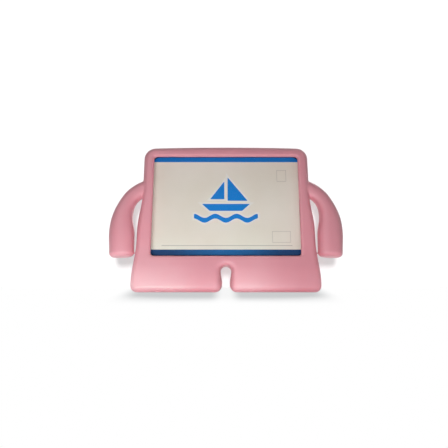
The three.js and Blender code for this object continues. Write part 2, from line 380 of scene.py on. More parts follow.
def mirrored(half: np.ndarray, last: Point) -> np.ndarray:
    """Close a right half from the top middle to the bottom middle with its mirror."""
    left = half[1:][::-1] * np.array([-1.0, 1.0])
    return np.vstack([half, np.array([last]), left])


def outward(outline: np.ndarray) -> np.ndarray:
    """Outward directions of a closed outline that runs clockwise.

    Args:
        outline: Points right and up.

    Returns:
        A direction of length 1 for each point.
    """
    chord = np.roll(outline, -1, axis=0) - np.roll(outline, 1, axis=0)
    normal = np.stack([-chord[:, 1], chord[:, 0]], axis=1)
    return normal / np.linalg.norm(normal, axis=1, keepdims=True)


@dataclass
class FrameShell:
    """The frame with its window, bay and legs, as rings round its outline."""

    sizes: CaseSizes
    top_steps: int = 44
    corner_steps: int = 20
    side_steps: int = 110
    heel_steps: int = 18
    sole_steps: int = 60
    notch_foot_steps: int = 16
    notch_side_steps: int = 14
    notch_top_steps: int = 16
    lip_round_rings: int = 7
    front_rings: int = 22
    front_edge_rings: int = 14
    back_edge_rings: int = 12
    back_rings: int = 24
    side_crowding: float = 1.4
    notch_stretch: float = 4.0

    def down_side(self, start: float, end: float) -> np.ndarray:
        """Heights down a side, closer together toward the feet."""
        share = (1 - np.arange(self.side_steps) / self.side_steps) ** self.side_crowding
        return end + (start - end) * share

    def frame_outline(self) -> np.ndarray:
        """Outline of the whole frame seen from the front.

        Returns:
            A closed clockwise outline.
        """
        s = self.sizes
        corner = (s.wall_x - s.top_corner, s.outer_top - s.top_corner)
        heel = (s.foot_x - s.foot_corner, -s.sole_drop + s.foot_corner)
        inner_foot = (s.notch_narrow + s.notch_foot_round, -s.sole_drop + s.notch_foot_round)
        notch_y = -s.sole_drop + s.notch_height - s.notch_round
        heights = self.down_side(corner[1], heel[1])
        half = np.vstack([
            along((0, s.outer_top), (corner[0], s.outer_top), self.top_steps),
            around(corner, s.top_corner, 90, 0, self.corner_steps),
            np.stack([s.flank_at(heights), heights], axis=1),
            around(heel, s.foot_corner, 0, -90, self.heel_steps),
            along((heel[0], -s.sole_drop), (inner_foot[0], -s.sole_drop), self.sole_steps),
            around(inner_foot, s.notch_foot_round, -90, -180, self.notch_foot_steps),
            along((s.notch_narrow, inner_foot[1]), (s.notch_round, notch_y), self.notch_side_steps),
            around((0, notch_y), s.notch_round, 0, 90, self.notch_top_steps),
        ])
        share = np.maximum(0, half[:, 1] / s.outer_top) * (1 - (half[:, 0] / s.wall_x) ** 2)
        half[:, 1] += s.top_crown * share
        return mirrored(half, (0, notch_y + s.notch_round))

    def inner_outline(self, half_size: Point, middle: float, radius: float) -> np.ndarray:
        """A rounded rectangle with as many points as the frame's outline.

        Args:
            half_size: Half its width and height.
            middle: Height of its middle.
            radius: Radius of its corners.

        Returns:
            A closed clockwise outline.
        """
        (a, b), (x, y) = half_size, (half_size[0] - radius, half_size[1] - radius)
        notch_steps = self.notch_foot_steps + self.notch_side_steps + self.notch_top_steps
        split = self.notch_stretch * self.sizes.notch_foot_round
        heights = self.down_side(y, -y)
        half = np.vstack([
            along((0, b), (x, b), self.top_steps),
            around((x, y), radius, 90, 0, self.corner_steps),
            np.stack([np.full_like(heights, a), heights], axis=1),
            around((x, -y), radius, 0, -90, self.heel_steps),
            along((x, -b), (split, -b), self.sole_steps),
            along((split, -b), (0, -b), notch_steps),
        ])
        return mirrored(half, (0, -b)) + np.array([0.0, middle])

    def place(self, flat: np.ndarray, forward: np.ndarray) -> np.ndarray:
        """Give outline points their depth, sheared in the legs so the soles stand level.

        Args:
            flat: Points right and up.
            forward: Their depths.

        Returns:
            Points right, up and forward.
        """
        s = self.sizes
        level = flat[:, 1] - forward * math.tan(s.lean) * s.down_legs(flat[:, 1], s.level_span)
        return np.stack([flat[:, 0], level, forward], axis=1)

    def build(self) -> Skin:
        """Skin the frame from the bay floor over the lip and the outer edge to the back.

        Returns:
            The closed surface.
        """
        s = self.sizes
        outline = self.frame_outline()
        normals = outward(outline)
        window = self.inner_outline(s.window_half, s.window_middle, s.window_corner)
        window_normals = outward(window)
        bay = self.inner_outline(s.bay_half, 0.0, s.bay_corner)
        sole_share = np.maximum(0, -normals[:, 1]) ** 2
        front_depth = s.edge_front + (s.sole_edge_front - s.edge_front) * sole_share
        back_depth = s.edge_back + (s.sole_edge_back - s.edge_back) * sole_share
        level = np.ones(len(outline))
        inset = outline - normals * s.edge_inward
        lip_foot = window + window_normals * s.lip_round

        rings = [
            self.place(bay, s.bay_floor * level),
            self.place(bay, s.lip_underside * level),
            self.place(window, s.lip_underside * level),
        ]
        for angle in np.radians(np.linspace(0, 90, self.lip_round_rings)):
            flat = window + window_normals * s.lip_round * (1 - math.cos(angle))
            rings.append(self.place(flat, s.front_at(flat[:, 1]) - s.lip_round * (1 - math.sin(angle))))
        for share in np.linspace(0, 1, self.front_rings)[1:-1]:
            flat = lip_foot * (1 - share) + inset * share
            rings.append(self.place(flat, s.front_at(flat[:, 1])))
        for angle in np.radians(np.linspace(90, 0, self.front_edge_rings)):
            flat = outline - normals * s.edge_inward * (1 - math.cos(angle))
            rings.append(self.place(flat, s.front_at(flat[:, 1]) - front_depth * (1 - math.sin(angle))))
        for angle in np.radians(np.linspace(0, 90, self.back_edge_rings)):
            flat = outline - normals * s.edge_inward * (1 - math.cos(angle))
            rings.append(self.place(flat, s.back_at(flat[:, 1]) + back_depth * (1 - math.sin(angle))))
        for share in np.linspace(1, 0, self.back_rings)[1:]:
            flat = window * (1 - share) + inset * share
            rings.append(self.place(flat, s.back_at(flat[:, 1])))
        return skin_rings(rings[::-1])


# --------------------------------------------------------------------------- node trees


@dataclass
class Tree:
    """A thin hand for adding nodes to a node tree and joining them."""

    tree: bpy.types.NodeTree

    def add(self, kind: str, inputs: dict | None = None, **settings: object) -> bpy.types.Node:
        """Add a node, set its properties and feed its inputs.

        Args:
            kind: The node's type name.
            inputs: Values or sockets for its inputs, by name or index.
            **settings: Properties of the node.

        Returns:
            The node.
        """
        node = self.tree.nodes.new(kind)
        for key, value in settings.items():
            setattr(node, key, value)
        for key, value in (inputs or {}).items():
            self.feed(node.inputs[key], value)
        return node

    def feed(self, socket: bpy.types.NodeSocket, value: object) -> None:
        """Link a socket into an input, or set the input's value.

        Args:
            socket: The input.
            value: A socket to link, or a plain value.
        """
        if isinstance(value, bpy.types.NodeSocket):
            self.tree.links.new(value, socket)
        else:
            socket.default_value = value

    def math(self, operation: str, *values: object) -> bpy.types.NodeSocket:
        """Add a maths node and return its result."""
        return self.add("ShaderNodeMath", dict(enumerate(values)), operation=operation).outputs[0]

    def ease(self, value: object, start: float, end: float) -> bpy.types.NodeSocket:
        """Add a smooth step from 0 at start to 1 at end and return its result."""
        inputs = {"Value": value, "From Min": start, "From Max": end}
        return self.add("ShaderNodeMapRange", inputs, interpolation_type="SMOOTHSTEP").outputs[0]

    def blend(self, share: object, first: object, second: object) -> bpy.types.NodeSocket:
        """Mix two numbers and return the result."""
        change = self.math("SUBTRACT", second, first)
        return self.math("MULTIPLY_ADD", share, change, first)

    def tint(self, share: object, first: object, second: object) -> bpy.types.NodeSocket:
        """Mix two colours.

        Args:
            share: How much of the second shows.
            first: A colour, or a socket that gives one.
            second: The other colour or socket.

        Returns:
            Socket of the mixture.
        """
        node = self.add("ShaderNodeMix", data_type="RGBA")
        self.feed(node.inputs[0], share)
        for socket, value in ((node.inputs[6], first), (node.inputs[7], second)):
            self.feed(socket, (*value, 1.0) if isinstance(value, tuple) else value)
        return node.outputs[2]

    def position(self) -> Sequence[bpy.types.NodeSocket]:
        """Read the place of each point and return its three parts."""
        place = self.add("GeometryNodeInputPosition").outputs[0]
        return self.add("ShaderNodeSeparateXYZ", {0: place}).outputs

    def shown(self) -> bpy.types.NodeSocket:
        """Tell rays that show a surface from those that only light it.

        Returns:
            Socket of 1 for rays from the camera or off shiny and clear surfaces, and 0 for others.
        """
        path = self.add("ShaderNodeLightPath").outputs
        second_hand = self.math("MAXIMUM", path["Is Glossy Ray"], path["Is Transmission Ray"])
        return self.math("MAXIMUM", path["Is Camera Ray"], second_hand)


def new_material(name: str) -> tuple[bpy.types.Material, Tree]:
    """Make an empty material and a hand for its node tree.

    Args:
        name: Name of the material.

    Returns:
        The material and its tree.
    """
    made = bpy.data.materials.new(name)
    made.use_nodes = True
    made.node_tree.nodes.clear()
    return made, Tree(made.node_tree)


# --------------------------------------------------------------------------- arms


@dataclass
class HangingArms:
    """Both arms, swept down a path by a node tree and mirrored."""

    sizes: CaseSizes
    root_height: float = 25.0
    root_width: float = 23.5
    root_thickness: float = 19.0
    outreach: float = 47.0
    width: float = 38.0
    thickness: float = 30.0
    forward: float = 3.0
    gap: float = 2.2
    length: float = 104.0
    end_round: float = 6.5
    end_drawn_in: float = 1.2
    widen_span: Point = (0.3, 0.8)
    end_span: Point = (0.75, 1.0)
    deepen_span: Point = (0.0, 0.7)
    squareness: float = 2.3
    root_buried: float = 6.0
    path_steps: int = 90
    tip_steps: int = 14
    section_steps: int = 72
    input_keys: dict[str, str] = field(default_factory=dict)

    def low_inner(self) -> float:
        """The arm's inner side at its low end, clear of the flank."""
        return float(self.sizes.flank_at(self.low_z())) + self.gap

    def low_outer(self) -> float:
        """The arm's outer side at its low end."""
        return self.sizes.wall_x + self.outreach - self.end_drawn_in

    def low_z(self) -> float:
        """Height of the low end before its rounding."""
        return self.root_height - self.length + self.end_round

    def knots(self) -> np.ndarray:
        """Points that the middle line passes through.

        Returns:
            Points right, up and forward, in millimetres.
        """
        wall = self.sizes.wall_x
        middle = wall + self.outreach - self.width / 2
        top, out = self.root_height, self.forward
        return np.array([
            (wall - 12, top + 6.4, 0.3 * out),
            (wall + 5, top - 1.5, 0.3 * out),
            (wall + 18, top - 13, 0.35 * out),
            (middle - 2, top - 29, 0.5 * out),
            (middle + 1.6, top - 47, 0.7 * out),
            (middle + 1, top - 70, 0.9 * out),
            ((self.low_inner() + self.low_outer()) / 2, self.low_z(), out),
        ])

    def path(self) -> np.ndarray:
        """The middle line, finely stepped, with a straight stretch for the rounded tip.

        Returns:
            Points right, up and forward, in millimetres.
        """
        knots = self.knots()
        ends = np.vstack([2 * knots[0] - knots[1], knots, 2 * knots[-1] - knots[-2]])
        spans = []
        for p0, p1, p2, p3 in zip(ends, ends[1:], ends[2:], ends[3:]):
            t0, steps = 0.0, ((p0, p1), (p1, p2), (p2, p3))
            t1, t2, t3 = np.cumsum([np.linalg.norm(b - a) ** 0.5 for a, b in steps])
            t = np.linspace(t1, t2, self.path_steps // (len(knots) - 1), endpoint=False)[:, None]
            a1 = (t1 - t) / (t1 - t0) * p0 + (t - t0) / (t1 - t0) * p1
            a2 = (t2 - t) / (t2 - t1) * p1 + (t - t1) / (t2 - t1) * p2
            a3 = (t3 - t) / (t3 - t2) * p2 + (t - t2) / (t3 - t2) * p3
            b1 = (t2 - t) / (t2 - t0) * a1 + (t - t0) / (t2 - t0) * a2
            b2 = (t3 - t) / (t3 - t1) * a2 + (t - t1) / (t3 - t1) * a3
            spans.append((t2 - t) / (t2 - t1) * b1 + (t - t1) / (t2 - t1) * b2)
        line = np.vstack([*spans, knots[-1:]])
        heading = (line[-1] - line[-2]) / np.linalg.norm(line[-1] - line[-2])
        angle = np.linspace(0, math.pi / 2, self.tip_steps + 1)[1:, None]
        return np.vstack([line, line[-1] + heading * self.end_round * np.sin(angle)])

    def tree(self) -> bpy.types.NodeTree:
        """Build the node tree that sweeps, flattens, trims and mirrors an arm.

        Returns:
            The node tree; the keys of its inputs are kept in input_keys.
        """
        group = bpy.data.node_groups.new("hanging_arms", "GeometryNodeTree")
        face = group.interface
        face.new_socket("Geometry", in_out="INPUT", socket_type="NodeSocketGeometry")
        numbers = ("Root width", "Arm width", "End width", "Root depth", "Arm depth",
                   "End round", "Squareness", "Wall inside")
        kinds = {**dict.fromkeys(numbers, "NodeSocketFloat"), "Finish": "NodeSocketMaterial"}
        for name, kind in kinds.items():
            self.input_keys[name] = face.new_socket(name, in_out="INPUT", socket_type=kind).identifier
        face.new_socket("Geometry", in_out="OUTPUT", socket_type="NodeSocketGeometry")
        t = Tree(group)
        given = t.add("NodeGroupInput").outputs

        # How wide and deep the arm is at each point of its path
        run = t.add("GeometryNodeSplineParameter").outputs["Length"]
        total = t.add("GeometryNodeSplineLength").outputs["Length"]
        shaft = t.math("SUBTRACT", total, given["End round"])
        share = t.math("MINIMUM", t.math("DIVIDE", run, shaft), 1.0)
        over = t.math("MAXIMUM", t.math("SUBTRACT", run, shaft), 0.0)
        squared = t.math("SUBTRACT", t.math("POWER", given["End round"], 2.0), t.math("POWER", over, 2.0))
        tip = t.math("SUBTRACT", given["End round"], t.math("SQRT", t.math("MAXIMUM", squared, 0.0)))
        swollen = t.blend(t.ease(share, *self.widen_span), given["Root width"], given["Arm width"])
        wide = t.blend(t.ease(share, *self.end_span), swollen, given["End width"])
        deep = t.blend(t.ease(share, *self.deepen_span), given["Root depth"], given["Arm depth"])
        half_wide = t.math("SUBTRACT", t.math("MULTIPLY", wide, 0.5), tip)
        half_deep = t.math("SUBTRACT", t.math("MULTIPLY", deep, 0.5), tip)

        # The path carries its own place and flatness on to the swept surface
        curve = t.add("GeometryNodeMeshToCurve", {0: given["Geometry"]}).outputs[0]
        curve = t.add("GeometryNodeSetCurveNormal", {"Curve": curve}, mode="Z_UP").outputs[0]
        flatness = t.math("DIVIDE", half_deep, half_wide)
        curve = t.add("GeometryNodeStoreNamedAttribute",
                      {"Geometry": curve, "Name": "flatness", "Value": flatness},
                      data_type="FLOAT", domain="POINT").outputs[0]
        middle = t.add("GeometryNodeStoreNamedAttribute", {"Geometry": curve, "Name": "middle"},
                       data_type="FLOAT_VECTOR", domain="POINT")
        t.feed(middle.inputs["Value"], t.add("GeometryNodeInputPosition").outputs[0])

        # A slightly squared round section
        circle = t.add("GeometryNodeCurvePrimitiveCircle",
                       {"Resolution": self.section_steps, "Radius": 1.0})
        power = t.math("DIVIDE", 2.0, given["Squareness"])
        bulged = [t.math("MULTIPLY", t.math("SIGN", axis), t.math("POWER", t.math("ABSOLUTE", axis), power))
                  for axis in t.position()[:2]]
        spot = t.add("ShaderNodeCombineXYZ", {0: bulged[0], 1: bulged[1]}).outputs[0]
        section = t.add("GeometryNodeSetPosition",
                        {"Geometry": circle.outputs["Curve"], "Position": spot}).outputs[0]
        swept = t.add("GeometryNodeCurveToMesh", {"Curve": middle.outputs[0], "Profile Curve": section,
                                                  "Scale": half_wide, "Fill Caps": True})

        # Flatten along the depth, and stop the root inside the wall
        place = t.position()
        read_middle = t.add("GeometryNodeInputNamedAttribute", {"Name": "middle"}, data_type="FLOAT_VECTOR")
        read_flat = t.add("GeometryNodeInputNamedAttribute", {"Name": "flatness"}, data_type="FLOAT")
        mid_z = t.add("ShaderNodeSeparateXYZ", {0: read_middle.outputs["Attribute"]}).outputs[2]
        offset = t.math("SUBTRACT", place[2], mid_z)
        depth = t.math("MULTIPLY_ADD", offset, read_flat.outputs["Attribute"], mid_z)
        kept_x = t.math("MAXIMUM", place[0], given["Wall inside"])
        spot = t.add("ShaderNodeCombineXYZ", {0: kept_x, 1: place[1], 2: depth}).outputs[0]
        arm = t.add("GeometryNodeSetPosition", {"Geometry": swept.outputs[0], "Position": spot}).outputs[0]

        # The other arm is its mirror, with its faces turned right way out
        other = t.add("GeometryNodeTransform", {"Geometry": arm, "Scale": (-1.0, 1.0, 1.0)}).outputs[0]
        other = t.add("GeometryNodeFlipFaces", {0: other}).outputs[0]
        both = t.add("GeometryNodeJoinGeometry")
        for side in (arm, other):
            t.feed(both.inputs[0], side)
        whole = t.add("GeometryNodeRealizeInstances", {0: both.outputs[0]}).outputs[0]
        dressed = t.add("GeometryNodeSetMaterial", {"Geometry": whole, "Material": given["Finish"]})
        t.add("NodeGroupOutput", {0: dressed.outputs[0]})
        return group

    def build(self, finish: bpy.types.Material) -> bpy.types.Mesh:
        """Sweep both arms.

        Args:
            finish: Material that the tree sets.

        Returns:
            A plain mesh in the drawing frame, in metres.
        """
        points = self.path() * MM
        wire = bpy.data.meshes.new("arm_path")
        wire.from_pydata(points.tolist(), [(i, i + 1) for i in range(len(points) - 1)], [])
        carrier = new_object("arm_sweep", wire)
        modifier = carrier.modifiers.new("sweep", "NODES")
        modifier.node_group = self.tree()
        values = {
            "Root width": self.root_width * MM,
            "Arm width": self.width * MM,
            "End width": (self.low_outer() - self.low_inner()) * MM,
            "Root depth": self.root_thickness * MM,
            "Arm depth": self.thickness * MM,
            "End round": self.end_round * MM,
            "Squareness": self.squareness,
            "Wall inside": (self.sizes.wall_x - self.root_buried) * MM,
            "Finish": finish,
        }
        for name, value in values.items():
            modifier[self.input_keys[name]] = value
        mesh = apply_modifiers(carrier)
        bpy.data.objects.remove(carrier)
        return mesh


# --------------------------------------------------------------------------- finishes


@dataclass(frozen=True)
class FoamFinish:
    """Soft satin foam, moulded in colour, with a fine closed-cell skin."""

    colour: Colour = (0.81, 0.325, 0.385)
    deep: Colour = (0.785, 0.305, 0.365)
    fleck: Colour = (0.95, 0.72, 0.76)
    fleck_strength: float = 0.05
    roughness: float = 0.42
    roughness_spread: float = 0.10
    cell_mm: float = 0.7
    fleck_mm: float = 0.315
    fleck_span: Point = (0.62, 0.8)
    cloud_mm: float = 60.0
    cloud_span: Point = (0.3, 0.7)

    def material(self) -> bpy.types.Material:
        """Build the material.

        Returns:
            The foam material.
        """
        made, t = new_material("case_foam")
        spot = t.add("ShaderNodeTexCoord").outputs["Object"]
        cloud = t.add("ShaderNodeTexNoise", {"Vector": spot, "Scale": 1 / (self.cloud_mm * MM),
                                             "Detail": 3.0, "Roughness": 0.55}).outputs["Fac"]
        speck = t.add("ShaderNodeTexNoise", {"Vector": spot, "Scale": 1 / (self.fleck_mm * MM),
                                             "Detail": 2.0}).outputs["Fac"]
        cells = t.add("ShaderNodeTexVoronoi", {"Vector": spot, "Scale": 1 / (self.cell_mm * MM)},
                      feature="SMOOTH_F1").outputs["Distance"]
        base = t.tint(t.ease(cloud, *self.cloud_span), self.deep, self.colour)
        flecks = t.math("MULTIPLY", t.ease(speck, *self.fleck_span), self.fleck_strength)
        base = t.tint(flecks, base, self.fleck)
        spread = self.roughness_spread
        rough = t.math("MULTIPLY_ADD", cloud, spread, self.roughness - spread / 2)
        relief = t.math("MULTIPLY_ADD", speck, 0.6, cells)
        bump = t.add("ShaderNodeBump", {"Strength": 0.22, "Distance": 0.00012, "Height": relief})
        shader = t.add("ShaderNodeBsdfPrincipled", {
            "Base Color": base,
            "Roughness": rough,
            "IOR": 1.45,
            "Specular IOR Level": 0.7,
            "Subsurface Weight": 0.06,
            "Subsurface Radius": (1.0, 0.35, 0.3),
            "Subsurface Scale": 0.0015,
            "Sheen Weight": 0.12,
            "Sheen Roughness": 0.5,
            "Sheen Tint": (1.0, 0.88, 0.9, 1.0),
            "Normal": bump.outputs[0],
        })
        t.add("ShaderNodeOutputMaterial", {"Surface": shader.outputs[0]})
        return made


@dataclass(frozen=True)
class Picture:
    """The card's picture in millimetres about the middle of the window."""

    band_top: float = 71.45
    band_bottom: float = -67.2
    motif_height: float = 6.0
    sail_gap: float = 2.5
    main_sail: Point = (31.0, 38.0)
    front_sail: Point = (22.0, 29.0)
    hull_length: float = 74.0
    hull_depth: float = 11.0
    bow_slope: float = 1.1
    wave_length: float = 98.0
    wave_crests: int = 3
    wave_rise: float = 3.2
    wave_stroke: float = 7.5
    wave_end_round: float = 3.0
    wave_drop: float = 25.0
    upper_frame: tuple[float, float, float, float] = (79.5, 39.8, 93.6, 57.8)
    lower_frame: tuple[float, float, float, float] = (70.5, -56.3, 97.8, -39.5)
    rule: tuple[float, float, float, float] = (-97.0, -61.5, 100.0, -60.7)
    shown_half: Point = (113.7, 77.15)
    shown_middle: float = 1.15
    shown_corner: float = 10.0
    shape_round: float = 1.6

    def shapes(self) -> list[list[Point]]:
        """The flat-sided shapes of the boat, each running anticlockwise.

        Returns:
            The main sail, the front sail and the hull.
        """
        up, gap = self.motif_height, self.sail_gap
        (main_w, main_h), (front_w, front_h) = self.main_sail, self.front_sail
        bow, half = self.hull_depth * self.bow_slope, self.hull_length / 2
        main = [(gap, up + gap), (gap + main_w, up + gap), (gap, up + gap + main_h)]
        front = [(-gap, up + 2 * gap), (-gap, up + 2 * gap + front_h), (-gap - front_w, up + 2 * gap)]
        top, low = up - gap, up - gap - self.hull_depth
        hull = [(-half, top), (-half + bow, low), (half - bow, low), (half, top)]
        return [main, front, hull]


@dataclass(frozen=True)
class PrintFinish:
    """Matte printed board: cream field, blue bands, blue picture with a pale edge, and painted shade on the
    low band and in the window's corners.
    """

    stance: Stance
    picture: Picture = Picture()
    board: Colour = linear(246, 239, 227)
    board_tone: Colour = linear(242, 234, 220)
    tone_span: Point = (0.3, 0.7)
    band: Colour = linear(26, 124, 208)
    # The low band is printed blue. These colours hold painted shade of the bottom lip, darker than the top
    # band and darker still at the ends
    low_band_shaded: Colour = linear(12, 97, 160)
    low_band_shaded_ends: Colour = linear(4, 60, 112)
    # Painted shade in the window's corners, past the rounded corners of the part that shows
    corner_painted_shade: Colour = linear(14, 30, 60)
    ink: Colour = linear(20, 134, 224)
    halo: Colour = linear(252, 250, 246)
    halo_strength: float = 0.7
    faint: Colour = linear(176, 168, 158)
    faint_strength: float = 0.55
    grey: Colour = linear(166, 160, 152)
    grey_strength: float = 0.75
    fibre: Colour = (1.0, 1.0, 1.0)
    fibre_strength: float = 0.05
    fibre_span: Point = (0.55, 0.75)
    roughness: float = 0.62
    ink_gloss: float = 0.12
    soft_edge: float = 0.12
    soft_line: float = 0.3
    line_half: float = 0.35
    halo_reach: Point = (4.0, 0.5)
    # Where the low band's painted shade eases from its ends to its middle
    low_band_shade_span: Point = (95.0, 5.0)
    # How softly the painted corner shade comes in
    corner_shade_fade: float = 1.4

    def distance(self, t: Tree, across: object, up: object, shape: Sequence[Point]) -> bpy.types.NodeSocket:
        """Signed distance to a convex shape whose corners run anticlockwise.

        Args:
            t: The tree to build in.
            across: Socket of the place across.
            up: Socket of the height.
            shape: The corners.

        Returns:
            Socket of the distance, negative inside.
        """
        found = None
        for (ax, ay), (bx, by) in zip(shape, [*shape[1:], shape[0]]):
            length = math.hypot(bx - ax, by - ay)
            nx, ny = (by - ay) / length, (ax - bx) / length
            side = t.math("MULTIPLY_ADD", across, nx, -(nx * ax + ny * ay))
            side = t.math("MULTIPLY_ADD", up, ny, side)
            found = side if found is None else t.math("SMOOTH_MAX", found, side, self.picture.shape_round)
        return found

    def box(self, t: Tree, across: object, up: object, area: Sequence[float]) -> bpy.types.NodeSocket:
        """Signed distance to an upright rectangle.

        Args:
            t: The tree to build in.
            across: Socket of the place across.
            up: Socket of the height.
            area: Its low left and high right corners, one after the other.

        Returns:
            Socket of the distance, negative inside.
        """
        past = []
        for place, low, high in ((across, area[0], area[2]), (up, area[1], area[3])):
            off = t.math("ABSOLUTE", t.math("SUBTRACT", place, (low + high) / 2))
            past.append(t.math("SUBTRACT", off, (high - low) / 2))
        return t.math("MAXIMUM", *past)

    def corner_shade_distance(self, t: Tree, across: object, up: object) -> bpy.types.NodeSocket:
        """Distance past the rounded corners of the part that shows in the window, where corner shade is
        painted.

        Args:
            t: The tree to build in.
            across: Socket of the place across.
            up: Socket of the height.

        Returns:
            Socket of the distance, negative inside.
        """
        p = self.picture
        off = t.math("SUBTRACT", up, p.shown_middle)
        reach = []
        for place, half in ((across, p.shown_half[0]), (off, p.shown_half[1])):
            past = t.math("SUBTRACT", t.math("ABSOLUTE", place), half - p.shown_corner)
            reach.append(t.math("POWER", t.math("MAXIMUM", past, 0.0), 2.0))
        return t.math("SUBTRACT", t.math("SQRT", t.math("ADD", *reach)), p.shown_corner)

    def wave(self, t: Tree, across: object, up: object) -> bpy.types.NodeSocket:
        """Signed distance to the wave under the boat.

        Args:
            t: The tree to build in.
            across: Socket of the place across.
            up: Socket of the height.

        Returns:
            Socket of the distance, negative inside.
        """
        p = self.picture
        turn = 2 * math.pi * p.wave_crests / p.wave_length
        crest = t.math("COSINE", t.math("MULTIPLY_ADD", across, turn, p.wave_crests * math.pi))
        middle = t.math("MULTIPLY_ADD", crest, p.wave_rise, p.motif_height - p.wave_drop)
        away = t.math("SUBTRACT", t.math("ABSOLUTE", t.math("SUBTRACT", up, middle)), p.wave_stroke / 2)
        ends = t.math("SUBTRACT", t.math("ABSOLUTE", across), p.wave_length / 2)
        return t.math("SMOOTH_MAX", away, ends, p.wave_end_round)

    def material(self) -> bpy.types.Material:
        """Build the material.

        Returns:
            The printed board's material.
        """
        made, t = new_material("printed_board")
        spot = t.add("ShaderNodeTexCoord").outputs["Object"]
        upright = self.stance.matrix().inverted()[1]
        across = t.math("DIVIDE", t.add("ShaderNodeSeparateXYZ", {0: spot}).outputs[0], MM)
        height = t.add("ShaderNodeVectorMath", {0: spot, 1: upright[:3]}, operation="DOT_PRODUCT")
        up = t.math("DIVIDE", t.math("ADD", height.outputs["Value"], upright[3]), MM)

        # Fields of ink, from their signed distances
        p = self.picture
        shapes = [self.distance(t, across, up, shape) for shape in p.shapes()]
        motif = self.wave(t, across, up)
        for shape in shapes:
            motif = t.math("MINIMUM", motif, shape)
        soft, faded = self.soft_edge, self.soft_line
        top = t.ease(up, p.band_top - soft, p.band_top + soft)
        low = t.ease(up, p.band_bottom + soft, p.band_bottom - soft)
        thin = [self.box(t, across, up, area) for area in (p.upper_frame, p.lower_frame)]
        lines = [t.math("SUBTRACT", t.math("ABSOLUTE", edge), self.line_half) for edge in thin]
        outlines = t.math("MINIMUM", lines[0], lines[1])
        rule = self.box(t, across, up, p.rule)

        # Board with a little fibre, then each print over it, with painted shade on the low band and in the
        # window's corners
        fibre = t.add("ShaderNodeTexNoise", {"Vector": spot, "Scale": 900.0, "Detail": 4.0}).outputs["Fac"]
        tone = t.add("ShaderNodeTexNoise", {"Vector": spot, "Scale": 14.0, "Detail": 2.0}).outputs["Fac"]
        colour = t.tint(t.ease(tone, *self.tone_span), self.board, self.board_tone)
        for share, strength, ink in (
            (t.ease(motif, *self.halo_reach), self.halo_strength, self.halo),
            (t.ease(outlines, faded, -faded), self.faint_strength, self.faint),
            (t.ease(rule, faded, -faded), self.grey_strength, self.grey),
        ):
            colour = t.tint(t.math("MULTIPLY", share, strength), colour, ink)
        drawn = t.ease(motif, soft, -soft)
        colour = t.tint(drawn, colour, self.ink)
        # Painted shade: the low band darkens from its middle toward its ends, as under the bottom lip
        centre = t.ease(t.math("ABSOLUTE", across), *self.low_band_shade_span)
        low_ink_with_shade = t.tint(centre, self.low_band_shaded_ends, self.low_band_shaded)
        colour = t.tint(top, colour, self.band)
        colour = t.tint(low, colour, low_ink_with_shade)
        # Painted shade in the window's corners
        corner_shade = t.ease(self.corner_shade_distance(t, across, up), 0.0, self.corner_shade_fade)
        colour = t.tint(corner_shade, colour, self.corner_painted_shade)
        fibres = t.math("MULTIPLY", t.ease(fibre, *self.fibre_span), self.fibre_strength)
        colour = t.tint(fibres, colour, self.fibre)

        inked = t.math("MAXIMUM", t.math("MAXIMUM", top, low), drawn)
        rough = t.math("MULTIPLY_ADD", inked, -self.ink_gloss, self.roughness)
        bump = t.add("ShaderNodeBump", {"Strength": 0.15, "Distance": 0.00005, "Height": fibre})
        shader = t.add("ShaderNodeBsdfPrincipled", {
            "Base Color": colour,
            "Roughness": rough,
            "IOR": 1.45,
            "Specular IOR Level": 0.2,
            "Normal": bump.outputs[0],
        })
        t.add("ShaderNodeOutputMaterial", {"Surface": shader.outputs[0]})
        return made


@dataclass(frozen=True)
class FloorFinish:
    """A white floor that lights as pale paper and shows the soft shadow under the object."""

    white: Colour = (1.0, 1.0, 1.0)
    paper: Colour = (0.86, 0.86, 0.86)
    shadow: Colour = linear(203, 204, 205)
    reach: float = 0.16
    notch_light: float = 0.8
    between_feet: Point = (0.004, 0.022)
    beyond_feet: Point = (0.155, 0.118)
    shade_range: Point = (0.965, 0.78)

    def material(self) -> bpy.types.Material:
        """Build the material.

        Returns:
            The floor's material.
        """
        made, t = new_material("pale_floor")
        near = t.add("ShaderNodeAmbientOcclusion", {"Distance": self.reach}, samples=32).outputs["AO"]
        place = t.add("ShaderNodeTexCoord").outputs["Object"]
        away = t.math("ABSOLUTE", t.add("ShaderNodeSeparateXYZ", {0: place}).outputs[0])
        notch = t.blend(t.ease(away, *self.between_feet), 1.0 - self.notch_light, 1.0)
        feet = t.math("MULTIPLY", notch, t.ease(away, *self.beyond_feet))
        dark = t.math("MULTIPLY", t.ease(near, *self.shade_range), feet)
        colour = t.tint(dark, self.white, self.shadow)
        paper = t.add("ShaderNodeBsdfDiffuse", {"Color": (*self.paper, 1.0)}).outputs[0]
        glow = t.add("ShaderNodeEmission", {"Color": colour, "Strength": 1.0}).outputs[0]
        both = t.add("ShaderNodeMixShader", {0: t.shown(), 1: paper, 2: glow}).outputs[0]
        t.add("ShaderNodeOutputMaterial", {"Surface": both})
        return made


